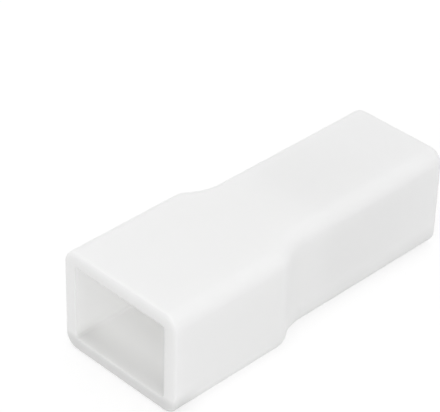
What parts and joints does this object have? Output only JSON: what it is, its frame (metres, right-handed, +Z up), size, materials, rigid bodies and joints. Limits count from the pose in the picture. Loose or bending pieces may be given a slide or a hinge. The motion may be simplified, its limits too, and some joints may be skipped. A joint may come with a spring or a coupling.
{
  "type": "tab terminal housing",
  "caption": "In-line moulded nylon housing for a flat tab terminal: a wide open socket at the mouth, a smooth waist at the sides and a narrower wire section.",
  "frame": {"origin": "middle of the underside, at the centre of the housing's box in X and Y", "axes": "+Z up, Y along the housing with the mouth at -Y and the wire entry at +Y, X across"},
  "size_m": [0.012, 0.0306, 0.009],
  "materials": {
    "nylon": "satin, milky and slightly translucent natural nylon"
  },
  "bodies": {
    "root": {"housing": "nylon"}
  },
  "joints": []
}
